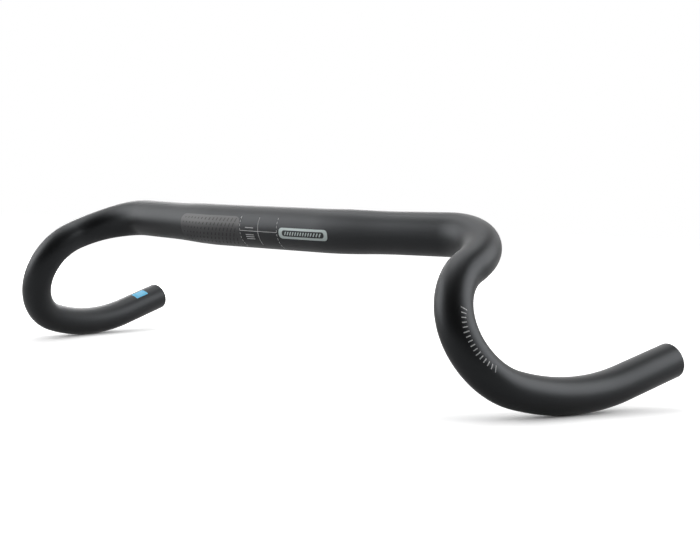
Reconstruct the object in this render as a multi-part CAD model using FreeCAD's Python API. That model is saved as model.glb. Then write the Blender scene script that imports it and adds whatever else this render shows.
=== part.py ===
import FreeCAD, Part
import math
import os

os.makedirs("parts", exist_ok=True)

# Flared drop handlebar: one butted aluminium tube, swaged smaller from the stem clamp to the grips
# and then bent. The origin is the middle of the stem clamp, +X runs along the bar to the rider's
# left, -Y is the way the bicycle rides and +Z is up. The bar stands on the lowest points of its drops.
# Lengths are in millimetres and angles in degrees. The centre line is given for the +X half.

# Tube, outside diameter and wall
clamp_diameter = 31.8
clamp_wall = 2.2
top_diameter = 29.6
top_wall = 1.6
grip_diameter = 23.8
grip_wall = 1.4
end_chamfer = 0.4

# Stem clamp, the slight rise and backward sweep beside it, the shoulder where the tube is drawn down,
# and the plain tops
clamp_width = 110.0
sweep_radius = 150.0
rise_angle = 1.1
sweep_angle = 4.0
shoulder_length = 57.0
top_length = 39.0

# Corner that turns the tops forward and down into the ramps, tapering to the grip
corner_radius = 46.0
ramp_out_angle = 2.4
ramp_down_angle = 23.4

# Hook, leaning outwards by the flare, and the drop that leaves it
flare_angle = 26.5
upper_hook_radius = 40.0
upper_hook_angle = 85.8
lower_hook_radius = 47.0
lower_hook_angle = 52.4
drop_twist_angle = 15.9
drop_radius = 175.0
drop_angle = 30.1
end_length = 46.5

UP = FreeCAD.Vector(0, 0, 1)
ALONG = FreeCAD.Vector(1, 0, 0)
MIDDLE = FreeCAD.Vector(0, 0, 0)

# The square round a section circle: its corners and side middles are the poles of that circle
SQUARE = [(1, 0), (1, 1), (0, 1), (-1, 1), (-1, 0), (-1, -1), (0, -1), (1, -1), (1, 0)]
CORNER_WEIGHT = math.sqrt(0.5)


def unit(x, y, z):
    """A direction of length one."""
    return FreeCAD.Vector(x, y, z).normalize()


def turned(direction, axis, angle):
    """A direction turned right-handed about an axis."""
    return FreeCAD.Rotation(axis, angle).multVec(direction)


def heading(section):
    """The way the centre line runs at a section, which is the section's own Z axis."""
    return section.Rotation.multVec(UP)


def ring(section, radius):
    """The circle of the tube at a section."""
    circle = Part.makeCircle(radius)
    circle.Placement = section
    return circle


def turned_wall(profile, section):
    """A profile in the XZ plane turned right round the Z axis and set at a section."""
    wall = profile.revolve(MIDDLE, UP, 360)
    wall.Placement = section
    return wall


def eased(share):
    """How much of a swage is done at a share of its length: two parabolas, level at both ends."""
    if share < 0.5:
        return 2 * share * share
    return 1 - 2 * (1 - share) * (1 - share)


class Straight:
    """A straight stretch of the centre line that starts at a section."""

    def __init__(self, start, length):
        self.start = start
        self.length = length

    def section(self, distance):
        """The section carried a distance along the stretch."""
        return FreeCAD.Placement(self.start.Base + heading(self.start) * distance, self.start.Rotation)

    def end(self):
        """The last section of the stretch."""
        return self.section(self.length)

    def wall(self, radius):
        """The round wall of the tube along the whole stretch."""
        return ring(self.start, radius).extrude(heading(self.start) * self.length)

    def swage(self, first_radius, last_radius):
        """The round wall where it eases from one radius to another, a full half and a hollow one."""
        middle_radius = (first_radius + last_radius) / 2
        radii = [first_radius, first_radius, middle_radius, last_radius, last_radius]
        poles = [FreeCAD.Vector(radius, 0, self.length * k / 4) for k, radius in enumerate(radii)]
        faces = []
        for half in (poles[:3], poles[2:]):
            parabola = Part.BezierCurve()
            parabola.setPoles(half)
            faces.append(turned_wall(parabola.toShape(), self.start))
        return faces


class Bend(Straight):
    """A stretch of the centre line bent to a radius, right-handed about an axis square to it."""

    def __init__(self, start, axis, radius, angle):
        super().__init__(start, radius * math.radians(angle))
        self.axis = axis
        self.radius = radius
        self.angle = angle
        self.centre = start.Base + axis.cross(heading(start)) * radius

    def section(self, distance):
        """The section carried a distance round the bend."""
        spin = FreeCAD.Rotation(self.axis, math.degrees(distance / self.radius))
        place = self.centre + spin.multVec(self.start.Base - self.centre)
        return FreeCAD.Placement(place, spin * self.start.Rotation)

    def wall(self, radius):
        """The round wall of the tube along the whole bend."""
        return ring(self.start, radius).revolve(self.centre, self.axis, self.angle)

    def drift(self, place):
        """How far a point fixed to the section moves for each millimetre along the centre line."""
        return self.axis.cross(place - self.centre) * (1 / self.radius)

    def pole_path(self, across, aside, first_radius, last_radius, distances):
        """The curve of one pole of the section circle as the tube eases from one radius to another.

        It starts and ends in step with the plain tube on either side, so the wall has no crease there.
        """
        places = []
        for distance in distances:
            radius = first_radius + (last_radius - first_radius) * eased(distance / self.length)
            places.append(self.section(distance).multVec(FreeCAD.Vector(across, aside, 0) * radius))
        path = Part.BSplineCurve()
        path.interpolate(
            Points=places,
            Parameters=distances,
            InitialTangent=self.drift(places[0]),
            FinalTangent=self.drift(places[-1]),
            Scale=False,
        )
        return path

    def swage(self, first_radius, last_radius, steps=6):
        """The round wall where it eases from one radius to another round the bend."""
        distances = [self.length * k / steps for k in range(steps + 1)]
        paths = [self.pole_path(*spot, first_radius, last_radius, distances) for spot in SQUARE]
        weights = [[CORNER_WEIGHT if across and aside else 1] * (steps + 3) for across, aside in SQUARE]
        wall = Part.BSplineSurface()
        wall.buildFromPolesMultsKnots(
            [path.getPoles() for path in paths],
            [3, 2, 2, 2, 3],
            paths[0].getMultiplicities(),
            [0, 1, 2, 3, 4],
            paths[0].getKnots(),
            False,
            False,
            2,
            3,
            weights,
        )
        return wall.toShape()


def bend_towards(start, direction, radius):
    """The bend of a radius that turns a section to face a direction."""
    now = heading(start)
    axis = now.cross(direction).normalize()
    return Bend(start, axis, radius, math.degrees(now.getAngle(direction)))


# Centre line of the +X half, stretch by stretch
middle_section = FreeCAD.Placement(MIDDLE, FreeCAD.Rotation(UP, ALONG))
half_seat = Straight(middle_section, clamp_width / 2)

rise = math.radians(rise_angle)
sweep = math.radians(sweep_angle)
swept = unit(math.cos(sweep) * math.cos(rise), math.sin(sweep) * math.cos(rise), math.sin(rise))
sweep_bend = bend_towards(half_seat.end(), swept, sweep_radius)
shoulder = Straight(sweep_bend.end(), shoulder_length)
top = Straight(shoulder.end(), top_length)

out = math.radians(ramp_out_angle)
down = math.radians(ramp_down_angle)
ramp = unit(math.sin(out) * math.cos(down), -math.cos(out) * math.cos(down), -math.sin(down))
corner = bend_towards(top.end(), ramp, corner_radius)

upright_axis = ramp.cross(-UP).normalize()
hook_axis = turned(upright_axis, ramp, flare_angle)
upper_hook = Bend(corner.end(), hook_axis, upper_hook_radius, upper_hook_angle)
lower_hook = Bend(upper_hook.end(), hook_axis, lower_hook_radius, lower_hook_angle)

drop_axis = turned(hook_axis, heading(lower_hook.end()), drop_twist_angle)
drop = Bend(lower_hook.end(), drop_axis, drop_radius, drop_angle)
grip_end = Straight(drop.end(), end_length)


def half_wall(clamp_radius, top_radius, grip_radius):
    """One wall of the +X half, outer or inner, from the middle of the bar to the edge of its end."""
    plain_end = Straight(grip_end.start, end_length - end_chamfer)
    return [
        half_seat.wall(clamp_radius),
        sweep_bend.wall(clamp_radius),
        *shoulder.swage(clamp_radius, top_radius),
        top.wall(top_radius),
        corner.swage(top_radius, grip_radius),
        upper_hook.wall(grip_radius),
        lower_hook.wall(grip_radius),
        drop.wall(grip_radius),
        plain_end.wall(grip_radius),
    ]


def cut_end(radius, bore):
    """The flat cut face of the tube's end and the chamfers that break its two edges."""
    profile = [
        FreeCAD.Vector(radius, 0, end_length - end_chamfer),
        FreeCAD.Vector(radius - end_chamfer, 0, end_length),
        FreeCAD.Vector(bore + end_chamfer, 0, end_length),
        FreeCAD.Vector(bore, 0, end_length - end_chamfer),
    ]
    return [turned_wall(edge, grip_end.start) for edge in Part.makePolygon(profile).Edges]


radii = [clamp_diameter / 2, top_diameter / 2, grip_diameter / 2]
walls = [clamp_wall, top_wall, grip_wall]
bores = [radius - wall for radius, wall in zip(radii, walls)]

left = half_wall(*radii) + half_wall(*bores) + cut_end(radii[-1], bores[-1])
right = [face.mirror(MIDDLE, ALONG) for face in left]
handlebar = Part.Solid(Part.Shell(left + right))
handlebar.exportStep("parts/handlebar.step")
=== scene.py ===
import math

import bpy
import numpy as np
from mathutils import Matrix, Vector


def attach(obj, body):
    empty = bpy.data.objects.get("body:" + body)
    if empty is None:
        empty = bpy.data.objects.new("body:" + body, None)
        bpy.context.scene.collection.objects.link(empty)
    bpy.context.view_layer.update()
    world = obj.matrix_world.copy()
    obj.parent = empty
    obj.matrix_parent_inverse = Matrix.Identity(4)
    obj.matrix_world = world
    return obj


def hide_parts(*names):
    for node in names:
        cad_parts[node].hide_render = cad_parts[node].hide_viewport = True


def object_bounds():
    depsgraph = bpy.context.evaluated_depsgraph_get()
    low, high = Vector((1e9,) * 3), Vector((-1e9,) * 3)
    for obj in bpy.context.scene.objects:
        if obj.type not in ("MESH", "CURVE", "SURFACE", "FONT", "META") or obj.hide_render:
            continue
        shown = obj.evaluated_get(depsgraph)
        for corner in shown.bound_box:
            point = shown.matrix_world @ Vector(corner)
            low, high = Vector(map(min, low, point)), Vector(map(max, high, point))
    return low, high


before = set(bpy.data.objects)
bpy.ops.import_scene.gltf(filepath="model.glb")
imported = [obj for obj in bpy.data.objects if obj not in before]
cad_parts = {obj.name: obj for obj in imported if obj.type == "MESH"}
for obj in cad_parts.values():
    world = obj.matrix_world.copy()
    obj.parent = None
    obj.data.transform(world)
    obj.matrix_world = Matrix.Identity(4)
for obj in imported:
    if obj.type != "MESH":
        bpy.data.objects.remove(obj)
cad_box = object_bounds()


# The bar. One butted aluminium tube, thickest where the stem grips it, drawn down along the tops and
# through the corners, bent on mandrels into flared hooks, then fine-blasted and anodised satin black.
# Sizes are the CAD solid's, in metres and radians, for the half on +X. The other half mirrors it.

clamp_radius = 0.0159
clamp_wall = 0.0022
top_radius = 0.0148
top_wall = 0.0016
grip_radius = 0.0119
grip_wall = 0.0014
end_chamfer = 0.0004

half_seat = 0.055
sweep_radius = 0.150
rise_angle = math.radians(1.1)
sweep_angle = math.radians(4.0)
shoulder_length = 0.057
top_length = 0.039
corner_radius = 0.046
ramp_out_angle = math.radians(2.4)
ramp_down_angle = math.radians(23.4)
flare_angle = math.radians(26.5)
upper_hook_radius = 0.040
upper_hook_angle = math.radians(85.8)
lower_hook_radius = 0.047
lower_hook_angle = math.radians(52.4)
drop_twist_angle = math.radians(15.9)
drop_radius = 0.175
drop_angle = math.radians(30.1)
end_length = 0.0465


def unit(direction):
    """A direction scaled to length one."""
    return direction / np.linalg.norm(direction)


def pointed(azimuth, elevation):
    """A direction of length one: azimuth from the front, -Y, towards +X, and elevation upwards."""
    level = math.cos(elevation)
    return np.array([math.sin(azimuth) * level, -math.cos(azimuth) * level, math.sin(elevation)])


def spin(axis, angles):
    """Turns about an axis, a 4 by 4 matrix for each angle.

    A turned point is the point, plus the sine times the axis crossed with it, plus one less the cosine
    times the axis crossed with it twice.
    """
    x, y, z = axis
    cross = np.array([[0, -z, y], [z, 0, -x], [-y, x, 0]])
    angles = np.asarray(angles, float)[..., None, None]
    turns = np.zeros(angles.shape[:-2] + (4, 4))
    turns[..., :3, :3] = np.eye(3) + np.sin(angles) * cross + (1 - np.cos(angles)) * (cross @ cross)
    turns[..., 3, 3] = 1
    return turns


def slid(offset):
    """A 4 by 4 matrix that slides a point by each offset."""
    offset = np.asarray(offset, float)
    slides = np.zeros(offset.shape[:-1] + (4, 4))
    slides[...] = np.eye(4)
    slides[..., :3, 3] = offset
    return slides


def carried(stretch, distance):
    """A stretch's first section carried along it: slid down a straight, or swung about a bend's centre."""
    start, _, axis, radius = stretch
    distance = np.asarray(distance, float)
    heading = start[:3, 2]
    if axis is None:
        return slid(distance[..., None] * heading) @ start
    centre = start[:3, 3] + np.cross(axis, heading) * radius
    return slid(centre) @ spin(axis, distance / radius) @ slid(-centre) @ start


def straight(start, length):
    """A straight stretch: its first section, its length, and no bend."""
    return start, length, None, None


def bend(start, axis, radius, angle):
    """A stretch bent to a radius, right-handed about an axis square to its heading."""
    return start, radius * angle, axis, radius


def bend_towards(start, direction, radius):
    """The bend that turns a section's heading to a direction, about the axis square to both."""
    heading = start[:3, 2]
    across = np.cross(heading, direction)
    angle = math.atan2(np.linalg.norm(across), heading @ direction)
    return bend(start, unit(across), radius, angle)


def last_section(stretch):
    """The section at the end of a stretch."""
    return carried(stretch, stretch[1])


# A section's columns are its top, its front and the way that the tube runs, then its place.
middle = np.eye(4)
middle[:3, :3] = np.array([[0, 0, 1], [0, -1, 0], [1, 0, 0]])

seat = straight(middle, half_seat)
swept = pointed(math.pi / 2 + sweep_angle, rise_angle)
sweep = bend_towards(last_section(seat), swept, sweep_radius)
shoulder = straight(last_section(sweep), shoulder_length)
top = straight(last_section(shoulder), top_length)

ramp = pointed(ramp_out_angle, -ramp_down_angle)
corner = bend_towards(last_section(top), ramp, corner_radius)

upright_axis = unit(np.cross(ramp, [0, 0, -1]))
hook_axis = spin(ramp, flare_angle)[:3, :3] @ upright_axis
upper_hook = bend(last_section(corner), hook_axis, upper_hook_radius, upper_hook_angle)
lower_hook = bend(last_section(upper_hook), hook_axis, lower_hook_radius, lower_hook_angle)
drop_axis = spin(last_section(lower_hook)[:3, 2], drop_twist_angle)[:3, :3] @ hook_axis
drop = bend(last_section(lower_hook), drop_axis, drop_radius, drop_angle)
grip_end = straight(last_section(drop), end_length)

stretches = [seat, sweep, shoulder, top, corner, upper_hook, lower_hook, drop, grip_end]
starts = np.concatenate([[0], np.cumsum([stretch[1] for stretch in stretches])])
half_length = starts[-1]
shoulder_start, top_start, corner_start, hook_start = starts[2:6]


def eased(share):
    """Two parabolas from 0 to 1, level at both ends."""
    share = np.clip(share, 0, 1)
    return np.where(share < 0.5, 2 * share**2, 1 - 2 * (1 - share) ** 2)


def swaged(along, at_clamp, at_top, at_grip):
    """A radius along the bar.

    It eases from the clamp's to the top's over the shoulder, and from there to the grip's round the corner.
    """
    along = np.abs(along)
    shoulder_share = eased((along - shoulder_start) / (top_start - shoulder_start))
    corner_share = eased((along - corner_start) / (hook_start - corner_start))
    return at_clamp + (at_top - at_clamp) * shoulder_share + (at_grip - at_top) * corner_share


def outside(along):
    """The outer radius along the bar."""
    return swaged(along, clamp_radius, top_radius, grip_radius)


def inside(along):
    """The inner radius along the bar."""
    return swaged(along, clamp_radius - clamp_wall, top_radius - top_wall, grip_radius - grip_wall)


def round_bar(along, turn, radius):
    """Points round the bar: off the centre line by a radius, turned from the top towards the front.

    Distances along the bar count from its middle, and below zero the point is mirrored in x.
    """
    along, turn, radius = np.broadcast_arrays(along, turn, radius)
    distance = np.clip(np.abs(along), 0, half_length)
    number = np.clip(np.searchsorted(starts, distance, side="right") - 1, 0, len(stretches) - 1)
    sections = np.zeros(along.shape + (4, 4))
    for k, stretch in enumerate(stretches):
        here = number == k
        sections[here] = carried(stretch, distance[here] - starts[k])
    upwards_share = np.cos(turn)[..., None]
    forwards_share = np.sin(turn)[..., None]
    spokes = upwards_share * sections[..., :3, 0] + forwards_share * sections[..., :3, 1]
    points = sections[..., :3, 3] + spokes * radius[..., None]
    points[..., 0] *= np.where(along < 0, -1, 1)
    return points


def quads(numbers):
    """Four-cornered faces between the neighbours in a grid of point numbers."""
    corners = [numbers[:-1, :-1], numbers[:-1, 1:], numbers[1:, 1:], numbers[1:, :-1]]
    return np.stack(corners, axis=-1).reshape(-1, 4)


def closed_quads(rows, columns):
    """Four-cornered faces of a grid of points that closes on itself both ways."""
    numbers = np.arange(rows * columns).reshape(rows, columns)
    return quads(np.pad(numbers, (0, 1), mode="wrap"))


row_pitch = 0.002
bore_row_pitch = 0.006
points_round = 72

brink = half_length - end_chamfer
outer_rows = np.linspace(-brink, brink, round(2 * brink / row_pitch))
bore_rows = np.linspace(brink, -brink, round(2 * brink / bore_row_pitch))
rim_rows = np.full(2, half_length)
bar_rows = np.concatenate([outer_rows, rim_rows, bore_rows, -rim_rows])
rim_radii = [grip_radius - end_chamfer, grip_radius - grip_wall + end_chamfer]
bar_radii = np.concatenate([outside(outer_rows), rim_radii, inside(bore_rows), rim_radii[::-1]])
bar_turns = np.linspace(0, 2 * math.pi, points_round, endpoint=False)


def set_sockets(made, values):
    """Constants set on a node's own sockets, each named with _ for a space."""
    for name, value in values.items():
        made.inputs[name.replace("_", " ")].default_value = value


def node(tree, kind, links, **values):
    """A shader node with other nodes' outputs linked into its sockets, and constants set on the rest."""
    made = tree.nodes.new(kind)
    set_sockets(made, values)
    for name, source in links.items():
        tree.links.new(source, made.inputs[name])
    return made


def mixed_colour(tree, factor, first, second):
    """A colour that goes from the first to the second as the factor goes from 0 to 1."""
    made = tree.nodes.new("ShaderNodeMix")
    made.data_type = "RGBA"
    set_sockets(made, {"A": (*first, 1), "B": (*second, 1)})
    tree.links.new(factor, made.inputs["Factor"])
    return made.outputs["Result"]


def blasted_skin():
    """Node group of the fine-blasted surface, in the bar's own coordinates.

    Height is a fine grain. Handling is a soft cloud, 0 to 1, where the skin is rubbed.
    """
    group = bpy.data.node_groups.new("blasted_skin", "ShaderNodeTree")
    for name in ("Grain per metre", "Cloud per metre"):
        group.interface.new_socket(name, in_out="INPUT", socket_type="NodeSocketFloat")
    for name in ("Height", "Handling"):
        group.interface.new_socket(name, in_out="OUTPUT", socket_type="NodeSocketFloat")
    sizes = group.nodes.new("NodeGroupInput").outputs
    place = group.nodes.new("ShaderNodeTexCoord").outputs["Object"]
    grain_links = {"Vector": place, "Scale": sizes["Grain per metre"]}
    grain = node(group, "ShaderNodeTexNoise", grain_links, Detail=3.0, Roughness=0.6)
    cloud_links = {"Vector": place, "Scale": sizes["Cloud per metre"]}
    cloud = node(group, "ShaderNodeTexNoise", cloud_links, Detail=4.0, Roughness=0.55)
    spread = node(group, "ShaderNodeMapRange", {"Value": cloud.outputs[0]}, From_Min=0.3, From_Max=0.7)
    results = group.nodes.new("NodeGroupOutput").inputs
    group.links.new(grain.outputs[0], results["Height"])
    group.links.new(spread.outputs[0], results["Handling"])
    return group


grain_per_metre = 2600.0
cloud_per_metre = 24.0
blast_depth = 0.00001
skin_group = blasted_skin()


def skin_material(
    name, colour, rubbed_colour, roughness, rubbed_roughness, grain_depth=blast_depth, **constants
):
    """A finish on the blasted skin: colour and roughness go from plain to rubbed, over fine grain.

    The constants are set on the shader's own sockets.
    """
    material = bpy.data.materials.new(name)
    material.use_nodes = True
    tree = material.node_tree
    skin = tree.nodes.new("ShaderNodeGroup")
    skin.node_tree = skin_group
    set_sockets(skin, {"Grain per metre": grain_per_metre, "Cloud per metre": cloud_per_metre})
    handling = skin.outputs["Handling"]
    tone = mixed_colour(tree, handling, colour, rubbed_colour)
    rough = node(
        tree, "ShaderNodeMapRange", {"Value": handling}, To_Min=roughness, To_Max=rubbed_roughness
    )
    bump = node(
        tree, "ShaderNodeBump", {"Height": skin.outputs["Height"]}, Strength=1.0, Distance=grain_depth
    )
    shader = tree.nodes["Principled BSDF"]
    set_sockets(shader, constants)
    tree.links.new(tone, shader.inputs["Base Color"])
    tree.links.new(rough.outputs[0], shader.inputs["Roughness"])
    tree.links.new(bump.outputs[0], shader.inputs["Normal"])
    return material


crisp_angle = math.radians(30)


def new_piece(name, points, faces, material):
    """A mesh object, smooth but for its crisp edges, that rides on the bar and has the given finish."""
    mesh = bpy.data.meshes.new(name)
    mesh.from_pydata(points.reshape(-1, 3).tolist(), [], faces.tolist())
    mesh.materials.append(material)
    mesh.polygons.foreach_set("use_smooth", np.ones(len(mesh.polygons), bool))
    mesh.set_sharp_from_angle(angle=crisp_angle)
    piece = bpy.data.objects.new(name, mesh)
    bpy.context.scene.collection.objects.link(piece)
    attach(piece, "root")
    return piece


anodised = skin_material(
    "satin_black_anodised",
    colour=(0.0035, 0.0035, 0.0036),
    rubbed_colour=(0.0045, 0.0045, 0.0047),
    roughness=0.47,
    rubbed_roughness=0.43,
    IOR=1.6,
    Specular_Tint=(0.90, 0.945, 1.0, 1),
    Sheen_Weight=0.5,
    Sheen_Roughness=0.3,
)
bar = new_piece(
    "bar",
    round_bar(bar_rows[:, None], bar_turns, bar_radii[:, None]),
    closed_quads(len(bar_rows), points_round),
    anodised,
)
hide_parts("handlebar")


# The stem marks. Silver ink, pad-printed on the front of the clamp: a line round the middle, a dashed
# line at each edge of a 40 mm stem, a level line for the bar's tilt and a short ladder of rules.
# A print is a thin closed film that follows the tube.

film_height = 0.00002
film_root = 0.00003


def edge_numbers(numbers):
    """The point numbers round the edge of a grid, once round."""
    return np.concatenate([numbers[0, :-1], numbers[:-1, -1], numbers[-1, :0:-1], numbers[:0:-1, 0]])


def film(name, along, turn, material, slot, layer=1):
    """Closed thin film over patches of the bar.

    Each patch is a grid of distances along and turns round. Its points stand a film's height for each
    layer off the tube on top and are rooted in it below, and the two sheets are joined round the edge.
    A patch whose rows run back along the bar has its faces turned over.
    """
    along, turn = np.broadcast_arrays(along, turn)
    patches, rows, columns = along.shape
    radius = outside(along)
    crown = round_bar(along, turn, radius + film_height * layer)
    root = round_bar(along, turn, radius - film_root)
    patch_size = 2 * rows * columns
    upper, lower = np.arange(patch_size).reshape(2, rows, columns)
    crown_edge = edge_numbers(upper)
    root_edge = edge_numbers(lower)
    wall = np.stack([crown_edge, root_edge, np.roll(root_edge, -1), np.roll(crown_edge, -1)], axis=-1)
    faces = np.concatenate([quads(upper), quads(lower)[:, ::-1], wall])
    if along[0, -1, 0] < along[0, 0, 0]:
        faces = faces[:, ::-1]
    patch_starts = patch_size * np.arange(patches)[:, None, None]
    faces = (faces + patch_starts).reshape(-1, 4)
    new_piece(name, np.stack([crown, root], axis=1), faces, material)


def per_mark(*sizes):
    """Sizes of a row of marks, each as an array with an axis for the marks and two for a patch."""
    return [np.atleast_1d(size)[:, None, None] for size in sizes]


def ring_marks(places, first_turn, last_turn, width, columns=24, lean=0.0):
    """Patches for lines round the bar: one at each place along it, between two turns.

    A line that leans slides along the bar by that share of the way it goes round it.
    """
    places, first_turn, last_turn, lean = per_mark(places, first_turn, last_turn, lean)
    across = np.array([-0.5, 0.5])[None, :, None] * width
    share = np.linspace(0, 1, columns)
    slide = lean * outside(places) * (last_turn - first_turn) * (share - 0.5)
    return places + across + slide, first_turn + (last_turn - first_turn) * share


def level_marks(first, last, turns, width, rows=24):
    """Patches for lines along the bar: one at each turn, between two distances."""
    first, last, turns = per_mark(first, last, turns)
    share = np.linspace(0, 1, rows)[None, :, None]
    along = first + (last - first) * share
    return along, turns + np.array([-0.5, 0.5]) * width / outside(along)


silver_ink = skin_material(
    "silver_ink",
    colour=(0.90, 0.91, 0.91),
    rubbed_colour=(0.82, 0.83, 0.83),
    roughness=0.45,
    rubbed_roughness=0.55,
)
line_width = 0.00042
stem_half_width = 0.020
sides = {"left": 1, "right": -1}

middle_line_start = math.radians(62)
middle_line_end = math.radians(143)
middle_line = ring_marks(0.0, middle_line_start, middle_line_end, line_width)
film("stem_middle_line", *middle_line, silver_ink, "grey_print")

edge_dash_count = 9
edge_dash_start = math.radians(61)
edge_dash_step = math.radians(11)
edge_dash_turn = math.radians(6.5)
edge_dash_starts = edge_dash_start + edge_dash_step * np.arange(edge_dash_count)
edge_dash_ends = edge_dash_starts + edge_dash_turn
for side, sign in sides.items():
    edge_places = np.full(edge_dash_count, sign * stem_half_width)
    edge_line = ring_marks(edge_places, edge_dash_starts, edge_dash_ends, line_width, columns=6)
    film(f"stem_edge_line_{side}", *edge_line, silver_ink, "grey_print")

level_turn = math.radians(100.6)
for side, sign in sides.items():
    level_line = level_marks(0.0, sign * stem_half_width, level_turn, line_width)
    film(f"level_line_{side}", *level_line, silver_ink, "grey_print")

rule_start = -0.014
rule_end = -0.005
rule_width = 0.0006
rule_turns = np.radians([92, 111, 117, 123])
ladder = level_marks(rule_start, rule_end, rule_turns, rule_width, rows=8)
film("ladder", *ladder, silver_ink, "grey_print")


# The tonal panel on one side of the stem marks. Pad-printed charcoal ink, a little lighter and glossier
# than the bar, under a staggered field of flat black dashes that shrink outwards.


def rounded_panel(first, last, low_turn, high_turn, rounding, rows=40, columns=24):
    """Patch between two distances and two turns, its corners rounded to a radius.

    Near either end its long sides follow a quarter circle inwards.
    """
    along = first + (last - first) * (1 - np.cos(np.linspace(0, math.pi, rows))) / 2
    from_end = np.minimum(np.abs(along - first), np.abs(last - along))
    inset = np.clip(rounding - from_end, 0, rounding)
    cut = (rounding - np.sqrt(rounding**2 - inset**2)) / outside(along)
    low = (low_turn + cut)[:, None]
    high = (high_turn - cut)[:, None]
    share = np.linspace(0, 1, columns)
    return along[None, :, None], (low + (high - low) * share)[None]


tonal_ink = skin_material(
    "tonal_ink",
    colour=(0.055, 0.056, 0.060),
    rubbed_colour=(0.045, 0.046, 0.050),
    roughness=0.33,
    rubbed_roughness=0.40,
    IOR=1.6,
)
panel = rounded_panel(
    first=-0.0207,
    last=-0.0918,
    low_turn=math.radians(62),
    high_turn=math.radians(152),
    rounding=0.006,
)
film("tonal_panel", *panel, tonal_ink, "grey_print")

flat_ink = skin_material(
    "flat_black_ink",
    colour=(0.022, 0.022, 0.023),
    rubbed_colour=(0.026, 0.026, 0.027),
    roughness=0.56,
    rubbed_roughness=0.50,
)
dash_columns = 15
dash_rows = 6
dash_pitch = 0.0043
dash_row_turn = math.radians(14)
first_dash_place = -0.0256
first_dash_turn = math.radians(73)
dash_half_turn = math.radians(5.6)
dash_shrink = math.radians(0.26)
slant_width = 0.0011
slant_lean = -0.5

dash_column, dash_row = np.indices((dash_columns, dash_rows)).reshape(2, -1)
row_stagger = dash_pitch / 2 * (dash_row % 2)
dash_places = first_dash_place - dash_pitch * dash_column - row_stagger
dash_centres = first_dash_turn + dash_row_turn * dash_row
dash_halves = dash_half_turn - dash_shrink * dash_column
dashes = ring_marks(
    dash_places,
    dash_centres - dash_halves,
    dash_centres + dash_halves,
    slant_width,
    columns=6,
    lean=slant_lean,
)
film("tonal_dashes", *dashes, flat_ink, "grey_print", layer=2)


# The pale plate on the other side of the stem marks. Pad-printed grey-green flake ink, then a dark slot
# in the middle of it and a row of slanted bars in the slot, each coat over the one before.

pale_ink = skin_material(
    "pale_green_ink",
    colour=(0.70, 0.78, 0.77),
    rubbed_colour=(0.62, 0.70, 0.69),
    roughness=0.46,
    rubbed_roughness=0.54,
    Metallic=0.6,
)
plate = rounded_panel(
    first=0.0222,
    last=0.0696,
    low_turn=math.radians(87),
    high_turn=math.radians(116),
    rounding=0.0032,
)
film("pale_plate", *plate, pale_ink, "grey_print")

slot_ink = skin_material(
    "dark_green_ink",
    colour=(0.030, 0.038, 0.038),
    rubbed_colour=(0.024, 0.030, 0.030),
    roughness=0.40,
    rubbed_roughness=0.48,
)
dark_slot = rounded_panel(
    first=0.0256,
    last=0.0664,
    low_turn=math.radians(93.5),
    high_turn=math.radians(109.5),
    rounding=0.0021,
)
film("plate_slot", *dark_slot, slot_ink, "grey_print", layer=2)

slant_count = 14
first_slant_place = 0.0290
last_slant_place = 0.0630
slant_low_turn = math.radians(97)
slant_high_turn = math.radians(106)
slant_places = np.linspace(first_slant_place, last_slant_place, slant_count)
slants = ring_marks(
    slant_places, slant_low_turn, slant_high_turn, slant_width, columns=6, lean=slant_lean
)
film("plate_bars", *slants, pale_ink, "grey_print", layer=3)


# The lever scales. Silver ticks on the inner front of each hook, a row of sixteen with a longer one
# every fifth, to set both brake levers at the same height. The ticks fan out towards the row's ends.

tick_count = 16
long_tick_step = 5
tick_pitch = 0.0026
tick_start = 0.2749
tick_length = 0.0031
long_tick_length = 0.0038
tick_width = 0.00062
scale_turn = math.radians(-16.5)
scale_bow = math.radians(-13)
end_lean = 0.5

tick_numbers = np.arange(tick_count)
tick_places = tick_start + tick_numbers * tick_pitch
end_share = 2 * tick_numbers / (tick_count - 1) - 1
tick_turns = scale_turn + scale_bow * end_share**2
tick_lengths = np.where(tick_numbers % long_tick_step == 0, long_tick_length, tick_length)
tick_half_turns = tick_lengths / grip_radius / 2
tick_leans = end_lean * end_share**3
for side, sign in sides.items():
    ticks = ring_marks(
        sign * tick_places,
        tick_turns - tick_half_turns,
        tick_turns + tick_half_turns,
        tick_width,
        columns=8,
        lean=sign * tick_leans,
    )
    film(f"lever_scale_{side}", *ticks, silver_ink, "grey_print")


# The blue label. A small square of sky-blue film stuck on the inside of the grip near one end, with
# a paler field printed in the middle of it. The film is smoother than the blasted tube.

label_depth = 0.000004

label_blue = skin_material(
    "sky_blue_film",
    colour=(0.13, 0.62, 0.98),
    rubbed_colour=(0.15, 0.64, 0.98),
    roughness=0.35,
    rubbed_roughness=0.42,
    grain_depth=label_depth,
)
label = rounded_panel(
    first=-0.4425,
    last=-0.4580,
    low_turn=math.radians(-146),
    high_turn=math.radians(-109),
    rounding=0.0006,
    rows=20,
    columns=16,
)
film("blue_label", *label, label_blue, "blue_label")

field_blue = skin_material(
    "pale_blue_ink",
    colour=(0.24, 0.70, 0.99),
    rubbed_colour=(0.27, 0.72, 0.99),
    roughness=0.40,
    rubbed_roughness=0.46,
    grain_depth=label_depth,
)
field = rounded_panel(
    first=-0.4462,
    last=-0.4558,
    low_turn=math.radians(-138),
    high_turn=math.radians(-119),
    rounding=0.0010,
    rows=20,
    columns=16,
)
film("label_field", *field, field_blue, "blue_label", layer=2)


# The studio. A pale matt floor that the bar stands on, in a pale room, both white where the camera looks
# straight at them, with a painted contact shadow in the floor's glow under the bar. A share of that white
# shows in the bar's gloss, most of it from the backdrop behind.
# Soft lamps hang round the bar, the two strongest on the camera's left and right.

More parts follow.
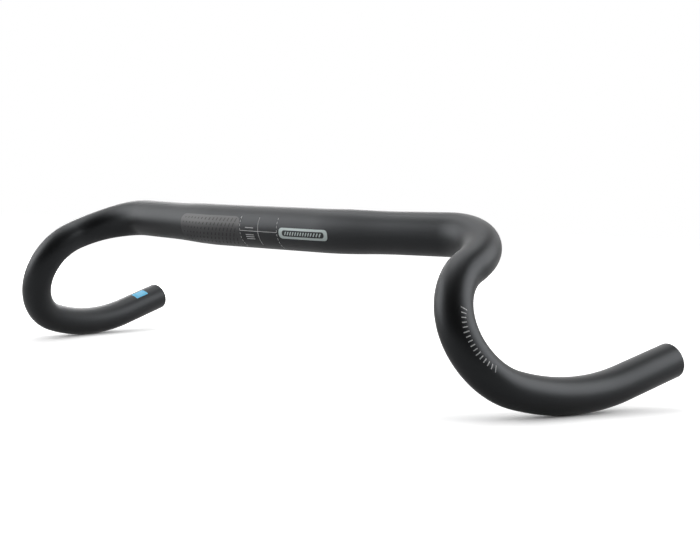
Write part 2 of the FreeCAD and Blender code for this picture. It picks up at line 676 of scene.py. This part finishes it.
floor_half = 6.0
floor_height = cad_box[0].z
floor_square = np.array([[-1, -1, 0], [1, -1, 0], [1, 1, 0], [-1, 1, 0]])
floor_points = floor_half * floor_square + [0, 0, floor_height]
floor_mesh = bpy.data.meshes.new("floor")
floor_mesh.from_pydata(floor_points.tolist(), [], [(0, 1, 2, 3)])
floor = bpy.data.objects.new("floor", floor_mesh)
bpy.context.scene.collection.objects.link(floor)


def computed(tree, operation, *sources):
    """What a Math node makes of other nodes' outputs."""
    made = tree.nodes.new("ShaderNodeMath")
    made.operation = operation
    for socket, source in zip(made.inputs, sources):
        tree.links.new(source, socket)
    return made.outputs[0]


def seen_directly(tree, mirrored_share):
    """1 for a ray from the camera, a lesser share for one from a mirror or glass, 0 for other light."""
    ray = tree.nodes.new("ShaderNodeLightPath").outputs
    mirror = computed(tree, "MAXIMUM", ray["Is Glossy Ray"], ray["Is Transmission Ray"])
    return computed(tree, "MULTIPLY_ADD", mirror, mirrored_share, ray["Is Camera Ray"])


white_light = (1, 1, 1, 1)
floor_colour = (0.38, 0.38, 0.38)
seen_colour = (0.98, 0.98, 0.98)
near_radius = 0.45
far_radius = 1.0
near_mirror = 0.08
far_mirror = 0.5
near_glow = 0.6
far_glow = 1.0
shadow_reach = 0.05

floor_material = bpy.data.materials.new("pale_floor")
floor_material.use_nodes = True
floor_tree = floor_material.node_tree
floor_place = floor_tree.nodes.new("ShaderNodeTexCoord").outputs["Object"]
from_middle = node(floor_tree, "ShaderNodeVectorMath", {0: floor_place})
from_middle.operation = "LENGTH"


def with_distance(near, far):
    """A value that goes from near to far between the floor's two radii."""
    return node(
        floor_tree,
        "ShaderNodeMapRange",
        {"Value": from_middle.outputs["Value"]},
        From_Min=near_radius,
        From_Max=far_radius,
        To_Min=near,
        To_Max=far,
    ).outputs[0]


floor_seen = seen_directly(floor_tree, with_distance(near_mirror, far_mirror))
floor_shade = mixed_colour(floor_tree, floor_seen, floor_colour, seen_colour)
# Painted contact shadow: ambient occlusion dims the floor's glow where the bar stands close, on top of the
# shadows the lamps cast on its lit part.
painted_contact_shade = node(floor_tree, "ShaderNodeAmbientOcclusion", {}, Distance=shadow_reach)
glow_with_painted_shadow = computed(floor_tree, "MULTIPLY", with_distance(near_glow, far_glow), painted_contact_shade.outputs["AO"])
floor_glow = computed(floor_tree, "MULTIPLY", floor_seen, glow_with_painted_shadow)
floor_shader = floor_tree.nodes["Principled BSDF"]
set_sockets(floor_shader, {"Roughness": 0.9, "Specular IOR Level": 0.0, "Emission Color": white_light})
floor_tree.links.new(floor_shade, floor_shader.inputs["Base Color"])
floor_tree.links.new(floor_glow, floor_shader.inputs["Emission Strength"])
floor_mesh.materials.append(floor_material)

backdrop_azimuth = math.radians(-137)
backdrop_middle = math.radians(18)
backdrop_edge = math.radians(60)
backdrop_mirror = 0.6
room_mirror = 0.02
room_light = 0.01

world = bpy.data.worlds.new("white_studio")
bpy.context.scene.world = world
world.use_nodes = True
world_tree = world.node_tree
room = world_tree.nodes["Background"]
set_sockets(room, {"Color": white_light, "Strength": room_light})
white_room = node(world_tree, "ShaderNodeBackground", {}, Color=white_light, Strength=1.0)
looking = world_tree.nodes.new("ShaderNodeTexCoord").outputs["Generated"]
facing = node(world_tree, "ShaderNodeVectorMath", {0: looking})
facing.operation = "DOT_PRODUCT"
facing.inputs[1].default_value = pointed(backdrop_azimuth, 0)
backdrop = node(
    world_tree,
    "ShaderNodeMapRange",
    {"Value": facing.outputs["Value"]},
    From_Min=math.cos(backdrop_edge),
    From_Max=math.cos(backdrop_middle),
    To_Min=room_mirror,
    To_Max=backdrop_mirror,
)
past_floor = node(
    world_tree,
    "ShaderNodeMixShader",
    {0: seen_directly(world_tree, backdrop.outputs[0]), 1: room.outputs[0], 2: white_room.outputs[0]},
)
world_tree.links.new(past_floor.outputs[0], world_tree.nodes["World Output"].inputs["Surface"])

lamp_distance = 1.6


def softbox(name, azimuth, elevation, width, height, power):
    """A soft rectangular lamp aimed at the bar, unseen by the camera.

    Azimuth counts in degrees from the front towards +X, and elevation upwards.
    """
    lamp = bpy.data.lights.new(name, "AREA")
    lamp.shape = "RECTANGLE"
    lamp.size = width
    lamp.size_y = height
    lamp.energy = power
    holder = bpy.data.objects.new(name, lamp)
    bpy.context.scene.collection.objects.link(holder)
    about = Matrix.Rotation(math.radians(azimuth), 4, "Z")
    tilt = Matrix.Rotation(math.radians(90 - elevation), 4, "X")
    holder.matrix_world = about @ tilt @ Matrix.Translation((0, 0, lamp_distance))
    holder.visible_camera = False


softbox("left_softbox", azimuth=-58, elevation=22, width=1.3, height=1.2, power=13.4)
softbox("left_high_softbox", azimuth=-90, elevation=52, width=1.1, height=1.0, power=3.8)
softbox("rear_left_softbox", azimuth=-122, elevation=13, width=1.1, height=0.65, power=7.6)
softbox("rear_softbox", azimuth=-165, elevation=30, width=1.4, height=0.9, power=1.8)
softbox("top_softbox", azimuth=-135, elevation=72, width=1.3, height=1.2, power=8.8)
softbox("right_softbox", azimuth=132, elevation=25, width=1.5, height=1.2, power=16.0)


# The camera. It stands nearly a metre off, in front and to the rider's left, about level with the tops,
# and is turned a little about its own line of sight, as in the photograph. Its focal length is in pixels
# of a picture 700 wide, and its sensor's width in millimetres.

view_azimuth = math.radians(43.278)
view_elevation = math.radians(3.398)
view_roll = math.radians(-2.2)
view_distance = 0.94446
view_target = np.array([0.02864, 0.054797, -0.037955])
image_width = 700
focal_length_pixels = 1238.29
sensor_width = 36.0

away = pointed(view_azimuth, view_elevation)
sideways = unit(np.cross([0, 0, 1], away))
upwards = np.cross(away, sideways)
upright_view = np.eye(4)
upright_view[:3, :3] = np.stack([sideways, upwards, away], axis=1)
view = slid(view_target + away * view_distance) @ spin(-away, view_roll) @ upright_view

camera_data = bpy.data.cameras.new("camera")
camera_data.sensor_width = sensor_width
camera_data.lens = focal_length_pixels / image_width * sensor_width
camera = bpy.data.objects.new("camera", camera_data)
camera.matrix_world = Matrix(view.tolist())
bpy.context.scene.collection.objects.link(camera)
bpy.context.scene.camera = camera
bpy.context.scene.view_settings.view_transform = "Standard"
